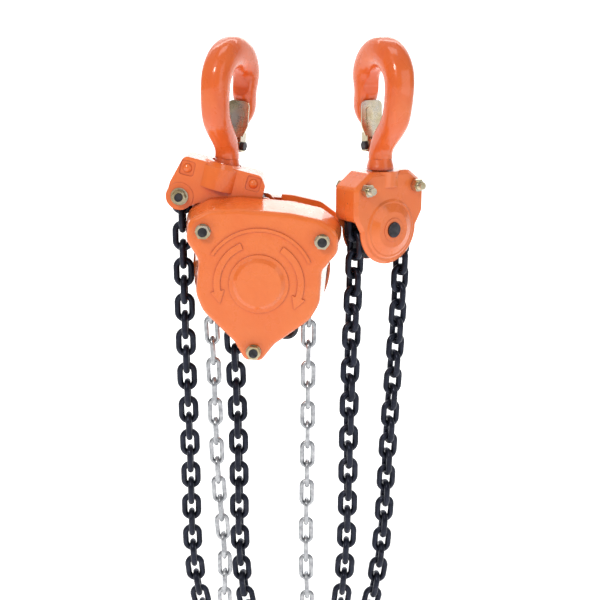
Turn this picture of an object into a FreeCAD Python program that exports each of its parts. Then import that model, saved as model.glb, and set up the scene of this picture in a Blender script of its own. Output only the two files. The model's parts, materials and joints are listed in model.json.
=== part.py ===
"""Two-fall hand chain hoist, 3 t class, hung up by its two hooks.

Millimetres, +Z up.  The origin is the centre of the top hook's bowl, X runs along the bar
that both hooks hang on, and the hand-wheel side faces -Y.
"""
import FreeCAD, Part
import math
import os

V = FreeCAD.Vector

# ------------------------------------------------------------------ driving dimensions
LOAD_CHAIN_WIRE = 7.1
LOAD_CHAIN_PITCH = 21.0
LINK_SIDE_GAP = 2.3          # play of a wire between the two sides of the next link
LOAD_CHAIN_WIDTH = 3 * LOAD_CHAIN_WIRE + LINK_SIDE_GAP
HAND_CHAIN_WIRE = 5.0
HAND_CHAIN_PITCH = 24.0
HAND_LINK_SIDE_GAP = 2.0
HAND_CHAIN_WIDTH = 3 * HAND_CHAIN_WIRE + HAND_LINK_SIDE_GAP
CHAIN_SLACK = 0.3            # play left at every upright link

LOAD_POCKETS = 5
HAND_POCKETS = 7

HOOK_BOWL_RADIUS = 22.0
HOOK_SADDLE_THICKNESS = 34.0
HOOK_WIDTH = 30.0
HOOK_NECK_RADIUS = 12.6
HOOK_COLLAR_RADIUS = 15.0
HOOK_COLLAR_BOTTOM = -87.5
HOOK_SHANK_RADIUS = 9.5
HOOK_SEAT = HOOK_COLLAR_BOTTOM - 1.0     # top face of whatever carries the hook
HOOK_SEAT_WALL = 4.5
LATCH_THICKNESS = 2.0
LATCH_WIDTH = 26.0
LATCH_BOLT_RADIUS = 3.5

TOP_HOOK_YAW = -115.0        # direction of the spine of the hook, degrees about Z
TOP_HOOK_TILT = 4.5          # shank leans, degrees about Y
BOTTOM_HOOK_YAW = -62.0
BLOCK_X = 163.0              # bottom block hangs this far along the bar

YOKE_ORIGIN = (-10.0, -77.0)
YOKE_TILT = 15.0
PLATE_INNER_Y = 14.5         # the hoist's two side plates
PLATE_THICKNESS = 4.0
PLATE_OUTER_Y = PLATE_INNER_Y + PLATE_THICKNESS
YOKE_PLATE = 3.0
YOKE_GAP = 0.5               # between a side plate and the yoke round it
YOKE_HALF_DEPTH = PLATE_OUTER_Y + YOKE_GAP + YOKE_PLATE
YOKE_HUMP_RADIUS = 24.5
YOKE_HUMP_REACH = 29.5       # how far the hump stands out from the middle, front and rear
ANCHOR_LOCAL = (-35.7, -48.4)
ANCHOR_PIN_RADIUS = 4.0
ANCHOR_BOSS_RADIUS = 15.0

BODY_CENTRE = (30.5, -201.5)  # axis of the hand wheel and load sheave, x and z
BODY_TILT = 5.0
HANGER_LOCAL = (-8.5, 76.0)
HANGER_PIN_RADIUS = 6.0
STAY_POINTS = ((-63.0, 52.0), (63.0, 52.0), (0.0, -76.0))
STAY_RADIUS = 5.0
SHAFT_RADIUS = 7.0

COVER_DEPTH = 50.5           # from the side plate to the cover's face
COVER_FRONT_Y = -PLATE_OUTER_Y - COVER_DEPTH
COVER_REAR_Y = -PLATE_OUTER_Y - 4.5
COVER_WALL = 2.6
COVER_EDGE = 5.0             # radius of the rounded edge round the cover's face
HAND_WHEEL_Y = -PLATE_OUTER_Y - 31.0
HAND_WHEEL_WIDTH = 24.0

GEAR_DISTANCE = 40.0
CASE_RADIUS = 79.0
CASE_WALL = 3.0
CASE_REAR_Y = PLATE_OUTER_Y + 38.5
CASE_FLANGE = 8.0            # thickness of the case's rim, shaped like the hand-wheel cover

BLOCK_YAW = 36.0
BLOCK_AXLE_Z = -152.0
BLOCK_HALF_DEPTH = PLATE_INNER_Y + 9.5
BLOCK_AXLE_RADIUS = 8.5

LOAD_PITCH_RADIUS = 34.2      # circle through the pivots of the load chain on a sheave
HAND_PITCH_RADIUS = 54.0      # the same for the hand chain on its wheel
RUN_GAP = 0.4                # running clearance between moving pieces
FIT_GAP = 0.15               # clearance of a pin in its hole

# ------------------------------------------------------------------ small helpers


def cylinder(point, direction, radius, height):
    return Part.makeCylinder(radius, height, V(*point), V(*direction))


def tube(point, direction, outer, inner, height):
    return cylinder(point, direction, outer, height).cut(cylinder(point, direction, inner, height))


def box(x0, x1, y0, y1, z0, z1):
    return Part.makeBox(x1 - x0, y1 - y0, z1 - z0, V(x0, y0, z0))


def join(shapes):
    first, rest = shapes[0], list(shapes[1:])
    return first.fuse(rest).removeSplitter() if rest else first


def cut(shape, tools):
    return shape.cut(list(tools))


def rounded_wire(corners, y):
    """Closed wire in the plane at y through (x, z, radius) corners, each rounded by an arc."""
    count = len(corners)
    starts, mids, ends = [], [], []
    for i, (x, z, radius) in enumerate(corners):
        here = V(x, y, z)
        before = V(corners[i - 1][0], y, corners[i - 1][1]) - here
        after = V(corners[(i + 1) % count][0], y, corners[(i + 1) % count][1]) - here
        half_turn = before.getAngle(after) / 2
        reach = min(radius / math.tan(half_turn), 0.49 * before.Length, 0.49 * after.Length)
        radius = reach * math.tan(half_turn)
        before.normalize()
        after.normalize()
        bisector = (before + after).normalize()
        starts.append(here + before * reach)
        ends.append(here + after * reach)
        mids.append(here + bisector * (radius / math.sin(half_turn) - radius))
    edges = []
    for i in range(count):
        edges.append(Part.Arc(starts[i], mids[i], ends[i]).toShape())
        edges.append(Part.makeLine(ends[i], starts[(i + 1) % count]))
    return Part.Wire(edges)


def plate(corners, y0, y1):
    """Flat piece between y0 and y1 with the rounded outline."""
    return Part.Face(rounded_wire(corners, y0)).extrude(V(0, y1 - y0, 0))


def mirrored(half):
    """Closed outline from its right half, listed clockwise from the top."""
    return list(half) + [(-x, z, radius) for x, z, radius in reversed(half)]


def hexagon(point, direction, across, height):
    """Hexagonal prism, `across` wide over its flats, with lightly turned corners."""
    radius = across / math.sqrt(3)
    corners = [V(radius * math.cos(math.radians(60 * i)), radius * math.sin(math.radians(60 * i)), 0)
               for i in range(6)]
    prism = Part.Face(Part.makePolygon(corners + corners[:1])).extrude(V(0, 0, height))
    turned = cylinder((0, 0, 0), (0, 0, 1), across * 0.56, height)
    prism = prism.common(turned)
    prism.Placement = FreeCAD.Placement(V(*point), FreeCAD.Rotation(V(0, 0, 1), V(*direction)))
    return prism


def nut(point, direction, across, height, bore):
    return hexagon(point, direction, across, height).cut(cylinder(point, direction, bore, height))


def placed(shape, origin, tilt=0.0, yaw=0.0):
    """Yaw about Z, then tilt about Y, then carry to the origin (x, z)."""
    turn = FreeCAD.Rotation(V(0, 1, 0), tilt).multiply(FreeCAD.Rotation(V(0, 0, 1), yaw))
    moved = shape.copy()
    moved.Placement = FreeCAD.Placement(V(origin[0], 0, origin[1]), turn).multiply(moved.Placement)
    return moved


def body_place(shape):
    return placed(shape, BODY_CENTRE, BODY_TILT)


def yoke_place(shape):
    return placed(shape, YOKE_ORIGIN, YOKE_TILT)


def block_place(shape):
    return placed(shape, (BLOCK_X, 0.0), 0.0, BLOCK_YAW)


def top_hook_place(shape):
    return placed(shape, (0.0, 0.0), TOP_HOOK_TILT, TOP_HOOK_YAW)


def bottom_hook_place(shape):
    return placed(shape, (BLOCK_X, 0.0), 0.0, BOTTOM_HOOK_YAW)


def world_point(local, origin, tilt):
    turned = FreeCAD.Rotation(V(0, 1, 0), tilt).multVec(V(local[0], 0, local[1]))
    return V(origin[0] + turned.x, 0, origin[1] + turned.z)


NODES = {}


def keep(name, shape):
    NODES[name] = shape


# ------------------------------------------------------------------ hooks
# A hook is drawn in XZ about its bowl: the saddle above, the spine towards +X, the tip towards
# -X and the shank straight down.  `HOOK_LINE` lists x, z, half thickness and half width.
BOWL_CUT = 1.2                # metal left inside the bowl for its cut
NECK_HEIGHT = 12.0           # from the collar's underside to where the bend starts
COLLAR_HEIGHT = 3.0
SHANK_LENGTH = 17.0
SECTION_CORNER = 1.07        # how far the section's corners stand out from an ellipse
LATCH_PIVOT = (-18.0, -63.0)
LATCH_END = (-19.3, -14.0)
LUG_RADIUS = 7.0
LUG_HALF = 5.0
NOSE_RADIUS = 5.2
LATCH_BOLT_ACROSS = 9.0
HOOK_NUT_ACROSS = 28.0
THRUST_RING_RADIUS = 15.0
THRUST_RING_HEIGHT = 2.4
HOOK_NUT_HEIGHT = 8.0
SOCKET_RADIUS = 17.0         # room for the hook's nut inside its carrier
SOCKET_DEPTH = 13.5


def bowl_station(angle, thickness, width):
    """Section centred outside the bowl at `angle`, degrees from the spine side."""
    radius = HOOK_BOWL_RADIUS - BOWL_CUT + thickness / 2
    return (radius * math.cos(math.radians(angle)), radius * math.sin(math.radians(angle)),
            thickness / 2, width / 2)


HOOK_LINE = (
    (0.0, HOOK_COLLAR_BOTTOM + NECK_HEIGHT, HOOK_NECK_RADIUS, HOOK_NECK_RADIUS),
    (2.0, -64.5, HOOK_NECK_RADIUS, 12.2),
    (13.0, -50.0, 13.0, 13.0),
    (28.0, -32.5, 14.0, 14.0),
    bowl_station(-14, 28.5, HOOK_WIDTH * 0.97),
    bowl_station(22, 30.5, HOOK_WIDTH),
    bowl_station(58, 33.0, HOOK_WIDTH * 1.03),
    bowl_station(92, HOOK_SADDLE_THICKNESS, HOOK_WIDTH * 1.03),
    bowl_station(126, 32.5, HOOK_WIDTH),
    bowl_station(160, 28.5, HOOK_WIDTH * 0.93),
    bowl_station(192, 24.0, HOOK_WIDTH * 0.86),
    (-36.0, -21.5, 10.4, 11.4),
    (-33.5, -32.0, 8.0, 9.4),
    (-31.0, -39.5, 4.6, 6.0),
)


def section_ring(centre, along, half_thick, half_wide):
    """Squarish closed section across `along`, from a superellipse through eight points."""
    across = V(along.z, 0, -along.x)
    points = []
    for step in range(8):
        angle = math.radians(45 * step)
        c, s = math.cos(angle), math.sin(angle)
        square = 1.0 if step % 2 == 0 else SECTION_CORNER
        points.append(centre + across * (c * half_thick * square) + V(0, s * half_wide * square, 0))
    curve = Part.BSplineCurve()
    curve.interpolate(Points=points, PeriodicFlag=True)
    return Part.Wire([curve.toShape()])


def hook_body():
    rings = []
    count = len(HOOK_LINE)
    for i, (x, z, thick, wide) in enumerate(HOOK_LINE):
        a, b = HOOK_LINE[max(i - 1, 0)], HOOK_LINE[min(i + 1, count - 1)]
        along = V(0, 0, 1) if i == 0 else V(b[0] - a[0], 0, b[1] - a[1]).normalize()
        rings.append(section_ring(V(x, 0, z), along, thick, wide))
    bend = Part.makeLoft(rings, True, False)
    # The neck and its flare run on inside the bend, so that no two of their skins coincide.
    inner_top = HOOK_COLLAR_BOTTOM + NECK_HEIGHT + 3.0
    collar_top = HOOK_COLLAR_BOTTOM + COLLAR_HEIGHT
    down = (0, 0, -1)
    neck = cylinder((0, 0, inner_top), down, HOOK_NECK_RADIUS - 1.5, inner_top - collar_top)
    flare = Part.makeCone(HOOK_COLLAR_RADIUS, HOOK_NECK_RADIUS - 1.0, NECK_HEIGHT + 1.0, V(0, 0, collar_top))
    collar = cylinder((0, 0, collar_top), down, HOOK_COLLAR_RADIUS, COLLAR_HEIGHT)
    shank = cylinder((0, 0, HOOK_COLLAR_BOTTOM), down, HOOK_SHANK_RADIUS, SHANK_LENGTH)
    nose = Part.makeSphere(NOSE_RADIUS, V(HOOK_LINE[-1][0] + 0.6, 0, HOOK_LINE[-1][1] + 0.4))
    lug = cylinder((LATCH_PIVOT[0], -LUG_HALF, LATCH_PIVOT[1]), (0, 1, 0), LUG_RADIUS, 2 * LUG_HALF)
    lug_web = box(LATCH_PIVOT[0], -2.0, -LUG_HALF, LUG_HALF, LATCH_PIVOT[1] - LUG_RADIUS,
                  LATCH_PIVOT[1] + LUG_RADIUS - 1.0)
    solid = join([bend, neck, flare, collar, shank, nose, lug, lug_web])
    bowl = cylinder((0, -HOOK_WIDTH, 0), (0, 1, 0), HOOK_BOWL_RADIUS, 2 * HOOK_WIDTH)
    bolt_hole = cylinder((LATCH_PIVOT[0], -6, LATCH_PIVOT[1]), (0, 1, 0),
                         LATCH_BOLT_RADIUS + FIT_GAP, 12)
    solid = cut(solid, [bowl, bolt_hole])
    solid.fix(1e-4, 1e-4, 1e-3)
    return solid


def hook_latch():
    """Pressed latch: a tapered tongue above a short channel that wraps the lug."""
    (px, pz), (ex, ez) = LATCH_PIVOT, LATCH_END
    length = math.hypot(ex - px, ez - pz)
    lean = math.degrees(math.atan2(px - ex, ez - pz))
    half = LATCH_WIDTH / 2
    foot = LUG_HALF + RUN_GAP + LATCH_THICKNESS
    web = LUG_RADIUS + RUN_GAP
    outline = [(-foot, 9.0, 2), (-half, length * 0.45, 8), (-half, length, 6),
               (half, length, 6), (half, length * 0.45, 8), (foot, 9.0, 2)]
    tongue = plate(outline, 0, LATCH_THICKNESS)
    dimple = plate([(-half * 0.45, length * 0.4, 3), (-half * 0.6, length * 0.85, 3),
                    (half * 0.6, length * 0.85, 3), (half * 0.45, length * 0.4, 3)],
                   -1.0, LATCH_THICKNESS)
    ears = []
    for side in (-1, 1):
        y = side * (LUG_HALF + RUN_GAP)
        start = min(y, y + side * LATCH_THICKNESS)
        ear = box(start, start + LATCH_THICKNESS, 0.0, web + LATCH_THICKNESS, -6.5, 14.0)
        ear = ear.fuse(cylinder((start, 0, 0), (1, 0, 0), 5.5, LATCH_THICKNESS))
        ears.append(ear.fuse(box(start, start + LATCH_THICKNESS, -3.0, LATCH_THICKNESS, -2.0, 11.0)))
    back = box(-foot, foot, web, web + LATCH_THICKNESS, -6.5, 14.0)
    shape = join([tongue, dimple, back] + ears)
    shape = cut(shape, [cylinder((-20, 0, 0), (1, 0, 0), LATCH_BOLT_RADIUS + FIT_GAP, 40)])
    # The drawing's X is the hinge line: turn it to Y, with the tongue's face to the bowl.
    shape.rotate(V(0, 0, 0), V(0, 0, 1), 90)
    shape.rotate(V(0, 0, 0), V(0, 1, 0), -lean)
    shape.translate(V(px, 0, pz))
    return shape


def latch_bolt():
    (px, pz) = LATCH_PIVOT
    reach = LUG_HALF + RUN_GAP + LATCH_THICKNESS + 0.1
    pin = cylinder((px, -reach, pz), (0, 1, 0), LATCH_BOLT_RADIUS, 2 * reach)
    head = hexagon((px, -reach, pz), (0, -1, 0), LATCH_BOLT_ACROSS, 4.0)
    lock = hexagon((px, reach, pz), (0, 1, 0), LATCH_BOLT_ACROSS, 4.5)
    return join([pin, head, lock])


def hook_nut():
    top = HOOK_SEAT - HOOK_SEAT_WALL - THRUST_RING_HEIGHT - 0.2
    return nut((0, 0, top), (0, 0, -1), HOOK_NUT_ACROSS, HOOK_NUT_HEIGHT, HOOK_SHANK_RADIUS)


def thrust_ring():
    top = HOOK_SEAT - HOOK_SEAT_WALL
    return tube((0, 0, top - 0.1), (0, 0, -1), THRUST_RING_RADIUS, HOOK_SHANK_RADIUS + FIT_GAP,
                THRUST_RING_HEIGHT)


def make_hooks():
    for side, place in (("top", top_hook_place), ("bottom", bottom_hook_place)):
        keep(side + "_hook", place(hook_body()))
        keep(side + "_hook_latch", place(hook_latch()))
        keep(side + "_latch_bolt", place(latch_bolt()))
        keep(side + "_hook_nut", place(hook_nut()))
        keep(side + "_hook_thrust_ring", place(thrust_ring()))


# ------------------------------------------------------------------ yoke
RIVET_RADIUS = 3.0
RIVET_HEAD_RADIUS = 5.2
PANEL_HALF = 8.0             # the sunk squares round the rivets
PANEL_DEPTH = 1.2
ANCHOR_RAISED = 0.6
ANCHOR_PIN_REACH = 11.0      # how far the pin stands out at the front
YOKE_OUTLINE = ((-41, -4, 7), (45, -4, 8), (52, -14, 6), (52, -46, 9), (30, -50, 8), (-14, -50, 5),
                (-22, -56, 4), (-50, -56, 4), (-49.5, -36, 8))
HUMP_X, HUMP_LOW, HUMP_HIGH = 1.0, -31.0, -7.0
RIVET_POINTS = ((-34.5, -16.2), (38.8, -14.6))


def grown(corners, amount):
    """The outline moved outwards by `amount`; corners are listed clockwise."""
    count = len(corners)
    lines = []
    for i, (x, z, _) in enumerate(corners):
        nx, nz, _ = corners[(i + 1) % count]
        length = math.hypot(nx - x, nz - z)
        out = (-(nz - z) / length, (nx - x) / length)
        lines.append((out, out[0] * x + out[1] * z + amount))
    result = []
    for i, (_, _, radius) in enumerate(corners):
        (a, b), c = lines[i - 1]
        (d, e), f = lines[i]
        det = a * e - b * d
        result.append(((c * e - b * f) / det, (a * f - c * d) / det, max(radius + amount, 0.8)))
    return result


def hook_socket():
    """Space that the hook's collar, shank, nut and ring need in whatever carries them."""
    down, clear_above = (0, 0, -1), 25.0
    return join([
        cylinder((0, 0, HOOK_SEAT + clear_above), down, HOOK_COLLAR_RADIUS + 1.0, clear_above),
        cylinder((0, 0, HOOK_SEAT), down, HOOK_SHANK_RADIUS + RUN_GAP, HOOK_SEAT_WALL + 1),
        cylinder((0, 0, HOOK_SEAT - HOOK_SEAT_WALL), down, SOCKET_RADIUS, SOCKET_DEPTH)])


def yoke_solid():
    """Both halves together: a shell open below, with a round hump for the hook's nut."""
    depth = YOKE_HALF_DEPTH
    shell = plate(YOKE_OUTLINE, -depth, depth)
    hollow = plate(((-37, -8, 3), (42, -8, 3), (47, -22, 2), (75, -25, 2), (75, -95, 2), (-62, -95, 2),
                    (-62, -42, 3), (-45.5, -34, 3)),
                   -(depth - YOKE_PLATE), depth - YOKE_PLATE)
    out = YOKE_HUMP_REACH - YOKE_HUMP_RADIUS
    hump = [box(HUMP_X - YOKE_HUMP_RADIUS, HUMP_X + YOKE_HUMP_RADIUS, -out, out, HUMP_LOW, HUMP_HIGH)]
    for y in (-out, out):
        hump.append(cylinder((HUMP_X, y, HUMP_LOW), (0, 0, 1), YOKE_HUMP_RADIUS, HUMP_HIGH - HUMP_LOW))
        hump.append(Part.makeCone(YOKE_HUMP_RADIUS, YOKE_HUMP_RADIUS - 6.0, 5.0, V(HUMP_X, y, HUMP_HIGH)))
    ax, az = ANCHOR_LOCAL
    boss = cylinder((ax, -depth - ANCHOR_RAISED, az), (0, 1, 0), ANCHOR_BOSS_RADIUS,
                    2 * (depth + ANCHOR_RAISED))
    boss = boss.cut(cylinder((ax, -depth + YOKE_PLATE, az), (0, 1, 0), ANCHOR_BOSS_RADIUS + 1,
                             2 * (depth - YOKE_PLATE)))
    pin_hole = cylinder((ax, -30, az), (0, 1, 0), ANCHOR_PIN_RADIUS + FIT_GAP, 60)
    solid = join([shell.cut(hollow), boss] + hump)
    panels = []
    for x, z in RIVET_POINTS:
        left, right, low, high = x - PANEL_HALF, x + PANEL_HALF, z - PANEL_HALF, z + PANEL_HALF
        panel = ((left, high, 3), (right, high, 3), (right, low, 3), (left, low, 3))
        panels.append(plate(panel, -depth - 1, -depth + PANEL_DEPTH))
        panels.append(plate(panel, depth - PANEL_DEPTH, depth + 1))
    solid = yoke_place(cut(solid, [pin_hole] + panels))
    holes = [yoke_place(cylinder((x, -30, z), (0, 1, 0), RIVET_RADIUS + FIT_GAP, 60))
             for x, z in RIVET_POINTS]
    pin = world_point(HANGER_LOCAL, BODY_CENTRE, BODY_TILT)
    holes.append(cylinder((pin.x, -30, pin.z), (0, 1, 0), HANGER_PIN_RADIUS + FIT_GAP, 60))
    return cut(solid, [top_hook_place(hook_socket())] + holes)


def anchor_fasteners():
    ax, az = ANCHOR_LOCAL
    face = YOKE_HALF_DEPTH + ANCHOR_RAISED
    pin = cylinder((ax, -face - ANCHOR_PIN_REACH, az), (0, 1, 0), ANCHOR_PIN_RADIUS,
                   2 * face + ANCHOR_PIN_REACH)
    head = cylinder((ax, face, az), (0, 1, 0), 8.0, 4.0)
    washer = tube((ax, -face - 0.1, az), (0, -1, 0), 9.5, ANCHOR_PIN_RADIUS + FIT_GAP, 1.6)
    lock = nut((ax, -face - 1.8, az), (0, -1, 0), 13.0, 6.5, ANCHOR_PIN_RADIUS)
    return join([pin, head]), washer, lock


def yoke_rivets():
    rivets = []
    for x, z in RIVET_POINTS:
        face = YOKE_HALF_DEPTH - PANEL_DEPTH
        shank = cylinder((x, -face - 0.1, z), (0, 1, 0), RIVET_RADIUS, 2 * face + 0.2)
        for side in (-1, 1):
            ball = 2 * RIVET_RADIUS
            sunk = math.sqrt(ball ** 2 - RIVET_HEAD_RADIUS ** 2)
            dome = Part.makeSphere(ball, V(x, side * (face - sunk), z))
            dome = dome.common(cylinder((x, side * face, z), (0, side, 0), RIVET_HEAD_RADIUS, ball))
            shank = shank.fuse(dome)
        rivets.append(shank)
    return Part.makeCompound(rivets)


def make_yoke():
    whole = yoke_solid()
    keep("yoke_front_half", whole.common(box(-200, 200, -60, 0, -200, 0)))
    keep("yoke_rear_half", whole.common(box(-200, 200, 0, 60, -200, 0)))
    keep("yoke_rivets", yoke_place(yoke_rivets()))
    pin, washer, lock = anchor_fasteners()
    keep("chain_anchor_pin", yoke_place(pin))
    keep("chain_anchor_washer", yoke_place(washer))
    keep("chain_anchor_nut", yoke_place(lock))


# ------------------------------------------------------------------ hoist body
SIDE_OUTLINE = ((-19, 85, 9.5), (2, 85, 9.5), (20, 68, 12), (70, 61, 10), (74, 44, 10), (61, 18, 20),
                (61, -28, 18), (16, -85, 10), (-16, -85, 10), (-61, -28, 18), (-61, 18, 20),
                (-74, 44, 10), (-70, 61, 10), (-38, 68, 12))
JOURNAL_RADIUS = 15.0
BEARING_RADIUS = 20.0
ROLLER_RADIUS = 6.5
ROLLER_AXLE_RADIUS = 3.0
ROLLER_POINTS = ((-54.2, -14.0), (55.2, -14.0))
STRIPPER_Z = -47.0
PAWL_POINTS = ((-33.0, 27.0), (33.0, -27.0))
DISC_SIDES = (("left", -1), ("right", 1))


def stay_holes(radius, y0, y1):
    return [cylinder((x, y0, z), (0, 1, 0), radius, y1 - y0) for x, z in STAY_POINTS]


def side_plate(sign):
    y0, y1 = sorted((sign * PLATE_INNER_Y, sign * PLATE_OUTER_Y))
    shape = plate(SIDE_OUTLINE, y0, y1)
    hx, hz = HANGER_LOCAL
    tools = stay_holes(STAY_RADIUS + FIT_GAP, y0 - 1, y1 + 1)
    tools.append(cylinder((hx, y0 - 1, hz), (0, 1, 0), HANGER_PIN_RADIUS + FIT_GAP, 6))
    tools.append(cylinder((0, y0 - 1, 0), (0, 1, 0), BEARING_RADIUS + 0.05, 6))
    for x, z in ROLLER_POINTS:
        tools.append(cylinder((x, y0 - 1, z), (0, 1, 0), ROLLER_AXLE_RADIUS + 0.02, 6))
    if sign > 0:
        for _, side in DISC_SIDES:
            tools.append(cylinder((side * GEAR_DISTANCE, y0 - 1, 0), (0, 1, 0), 6.2, 6))
    return cut(shape, tools)


def make_frame():
    for name, sign in (("side_plate_front", -1), ("side_plate_rear", 1)):
        keep(name, body_place(side_plate(sign)))
    hx, hz = HANGER_LOCAL
    pin = cylinder((hx, -YOKE_HALF_DEPTH, hz), (0, 1, 0), HANGER_PIN_RADIUS, 2 * YOKE_HALF_DEPTH)
    collar = cylinder((hx, -PLATE_INNER_Y + 0.3, hz), (0, 1, 0), 9.0, 2 * PLATE_INNER_Y - 0.6)
    keep("hanger_pin", body_place(join([pin, collar])))
    bolts, nuts, case_nuts = [], [], []
    for x, z in STAY_POINTS:
        rod = cylinder((x, COVER_FRONT_Y - 8.0, z), (0, 1, 0), STAY_RADIUS,
                       CASE_FLANGE_Y + 13.5 - COVER_FRONT_Y + 8.0)
        front = cylinder((x, COVER_FRONT_Y + COVER_WALL + 4.2, z), (0, 1, 0), 6.2,
                         -PLATE_OUTER_Y - COVER_FRONT_Y - COVER_WALL - 4.3)
        middle = cylinder((x, -PLATE_INNER_Y + 0.05, z), (0, 1, 0), 8.0, 2 * PLATE_INNER_Y - 0.1)
        bolts.append(join([rod, front, middle]))
        nuts.append(tube((x, COVER_FRONT_Y - 0.1, z), (0, -1, 0), 8.2, STAY_RADIUS, 1.5))
        nuts.append(nut((x, COVER_FRONT_Y - 1.7, z), (0, -1, 0), 14.0, 5.5, STAY_RADIUS))
        case_nuts.append(nut((x, CASE_FLANGE_Y + 5.1, z), (0, 1, 0), 14.0, 6.0, STAY_RADIUS))
    keep("stay_bolts", body_place(Part.makeCompound(bolts)))
    keep("hand_wheel_cover_nuts", body_place(Part.makeCompound(nuts)))
    keep("gear_case_nuts", body_place(Part.makeCompound(case_nuts)))
    half = PLATE_INNER_Y - RUN_GAP
    for name, (x, z) in zip(("guide_roller_left", "guide_roller_right"), ROLLER_POINTS):
        roller = tube((x, -half, z), (0, 1, 0), ROLLER_RADIUS, ROLLER_AXLE_RADIUS + 0.1, 2 * half)
        axle = cylinder((x, -PLATE_OUTER_Y, z), (0, 1, 0), ROLLER_AXLE_RADIUS, 2 * PLATE_OUTER_Y)
        keep(name, body_place(roller))
        keep(name + "_axle", body_place(axle))
    finger = box(-9, 9, -3.4, 3.4, STRIPPER_Z, -22.4)
    bar = box(-14, 14, -PLATE_INNER_Y + 0.05, PLATE_INNER_Y - 0.05, STRIPPER_Z - 8, STRIPPER_Z)
    keep("chain_stripper", body_place(join([finger, bar])))
    for name, sign in (("sheave_bearing_front", -1), ("sheave_bearing_rear", 1)):
        ring = tube((0, sign * PLATE_INNER_Y, 0), (0, sign, 0), BEARING_RADIUS, JOURNAL_RADIUS + 0.1,
                    PLATE_THICKNESS)
        keep(name, body_place(ring))


# ------------------------------------------------------------------ sheaves and gears


def pocket_sheave(pockets, pitch_radius, wire, width, pitch, outer, half_width, bore, phase):
    """Chain sheave about Y: pockets for the flat links and a slot for the upright ones."""
    body = cylinder((0, -half_width, 0), (0, 1, 0), outer, 2 * half_width)
    chord = pitch + wire
    half_angle = math.asin(chord / 2 / pitch_radius)
    floor = pitch_radius * math.cos(half_angle) - wire / 2 - 0.3
    upright = pitch - wire
    slot = math.sqrt(pitch_radius ** 2 - upright ** 2 / 4) - width / 2 - 0.4
    tools = [tube((0, -wire / 2 - 0.6, 0), (0, 1, 0), outer + 1, slot, wire + 1.2),
             tube((0, -width / 2 - 0.5, 0), (0, 1, 0), outer + 1, pitch_radius - 0.8, width + 1)]
    length = pitch + 2 * wire + 2.4
    for i in range(pockets):
        corners = ((-length / 2, outer + 3, 1), (length / 2, outer + 3, 1),
                   (length / 2, floor, 3.0), (-length / 2, floor, 3.0))
        pocket = plate(corners, -width / 2 - 0.5, width / 2 + 0.5)
        pocket.rotate(V(0, 0, 0), V(0, 1, 0), 90 - phase - 360 * i / pockets)
        tools.append(pocket)
    tools.append(cylinder((0, -half_width - 1, 0), (0, 1, 0), bore, 2 * half_width + 2))
    return cut(body, tools)


PRESSURE_ANGLE = math.radians(20)
FLANK_STEPS = 3
OUTER_MODULE = 1.6           # input pinion and disc gears
INNER_MODULE = 2.0           # disc pinions and load gear
PINION_TEETH = 9
DISC_TEETH = 41
LOAD_GEAR_TEETH = 31
PINION_SHIFT = 0.5
DISC_GEAR_Y = (PLATE_OUTER_Y + 19.5, PLATE_OUTER_Y + 27.5)
LOAD_GEAR_Y = (PLATE_OUTER_Y + 1.7, PLATE_OUTER_Y + 10.5)
DISC_AXLE_RADIUS = 6.0
LOAD_SPLINE_RADIUS = 13.0
SHAFT_FRONT_Y = -PLATE_OUTER_Y - 46.0
AXLE_END_Y = PLATE_OUTER_Y + 34.0    # rear end of the shaft and both disc gear axles


def involute(angle):
    return math.tan(angle) - angle


def gear(teeth, module, shift, y0, y1, phase, backlash=0.25):
    """Spur gear about Y with involute flanks; a tooth is centred at `phase` degrees."""
    pitch_radius = module * teeth / 2
    base = pitch_radius * math.cos(PRESSURE_ANGLE)
    root = pitch_radius - module * (1.25 - shift)
    tip = pitch_radius + module * (1 + shift) - 0.3
    thick = module * (math.pi / 2 + 2 * shift * math.tan(PRESSURE_ANGLE)) - backlash
    middle = thick / (2 * pitch_radius) + involute(PRESSURE_ANGLE)
    low = max(root, base)
    flank = []
    for i in range(FLANK_STEPS + 1):
        radius = low + (tip - low) * i / FLANK_STEPS
        flank.append((radius, middle - involute(math.acos(min(1.0, base / radius)))))
    if root < base:
        flank.insert(0, (root, flank[0][1]))
    points = []
    for tooth in range(teeth):
        centre = math.radians(phase) + 2 * math.pi * tooth / teeth
        for radius, half in [(r, -a) for r, a in flank] + [(r, a) for r, a in reversed(flank)]:
            points.append(V(radius * math.cos(centre + half), y0, radius * math.sin(centre + half)))
    return Part.Face(Part.makePolygon(points + points[:1])).extrude(V(0, y1 - y0, 0))


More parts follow.
